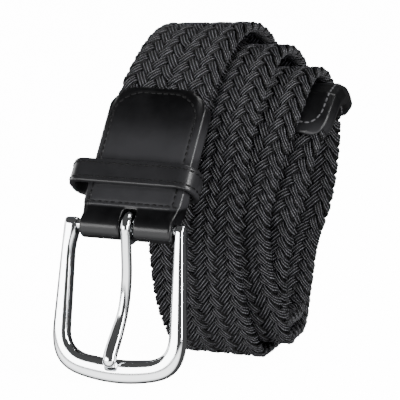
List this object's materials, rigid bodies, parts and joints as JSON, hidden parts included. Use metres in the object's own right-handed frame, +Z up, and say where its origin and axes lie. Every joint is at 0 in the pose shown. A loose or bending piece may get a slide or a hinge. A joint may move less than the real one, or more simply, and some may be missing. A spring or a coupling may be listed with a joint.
{
  "type": "stretch belt",
  "caption": "Rolled braided elastic belt with smooth leather end pieces, a leather keeper loop and a chrome pin buckle standing in front of the roll.",
  "frame": {"origin": "middle of the flattened foot of the roll, on the surface it rests on", "axes": "+X across the strap towards the side the inner turns have slid out to, +Y away from the buckle, +Z up"},
  "size_m": [0.074, 0.0948, 0.1046],
  "materials": {
    "braid": "matte",
    "hide": "satin",
    "chrome": "polished"
  },
  "bodies": {
    "root": {"braided_strap": "braid", "leather_tab": "hide", "keeper_loop": "hide", "leather_tip": "hide"},
    "buckle": {"buckle_frame": "chrome"},
    "tongue": {"buckle_tongue": "chrome"}
  },
  "joints": [
    {"name": "buckle_hinge", "type": "hinge", "parent": "root", "child": "buckle", "pos_m": [-0.01079, -0.04992, 0.04685], "axis": [-1, 0, 0], "range_deg": [-36, 64]},
    {"name": "tongue_hinge", "type": "hinge", "parent": "buckle", "child": "tongue", "pos_m": [-0.01079, -0.04992, 0.04685], "axis": [-1, 0, 0], "range_deg": [0, 54]}
  ]
}
